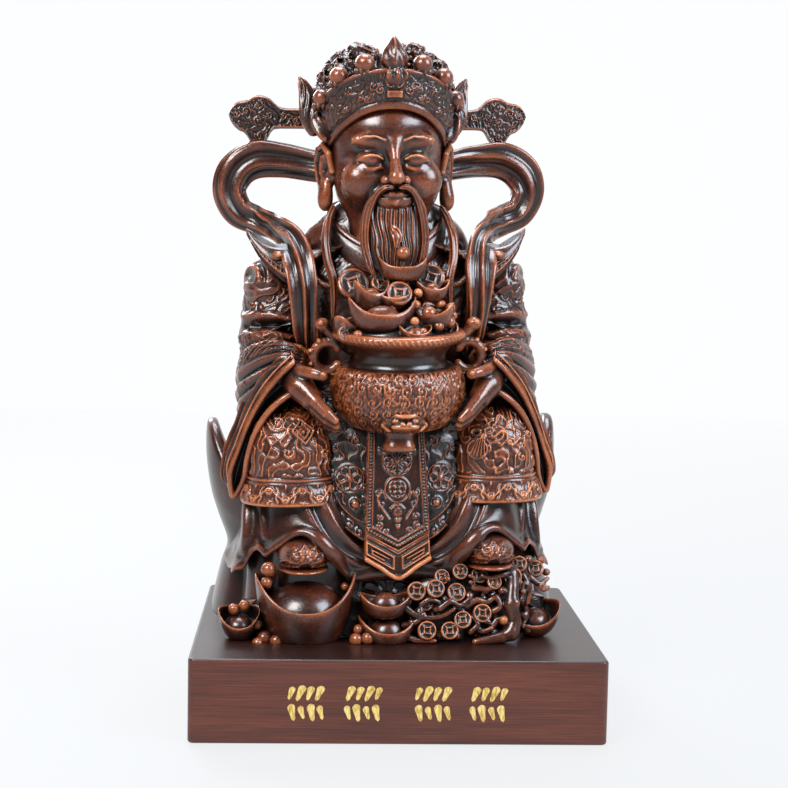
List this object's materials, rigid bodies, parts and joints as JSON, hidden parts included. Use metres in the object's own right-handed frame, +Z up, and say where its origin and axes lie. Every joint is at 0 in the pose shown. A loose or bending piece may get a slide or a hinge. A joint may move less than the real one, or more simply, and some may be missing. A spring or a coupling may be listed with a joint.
{
  "type": "seated god-of-wealth figure",
  "caption": "Seated bearded figure in official's hat and ribbons, holding a full treasure bowl before an ingot-shaped seat, on a rectangular plinth.",
  "frame": {"origin": "centre of the plinth's underside", "axes": "+Z up, -Y towards the front that the figure faces, +X to the viewer's right"},
  "size_m": [0.24, 0.205, 0.4085],
  "materials": {
    "figure": "dark red-brown resin in imitation of redwood, rubbed to a satin gloss on the highs",
    "plinth": "dark red-brown lacquered wood, fine grain along the front, satin gloss",
    "gilding": "matt gold paint in the cut strokes"
  },
  "bodies": {
    "root": {"figure": "figure", "plinth": "plinth"}
  },
  "joints": []
}
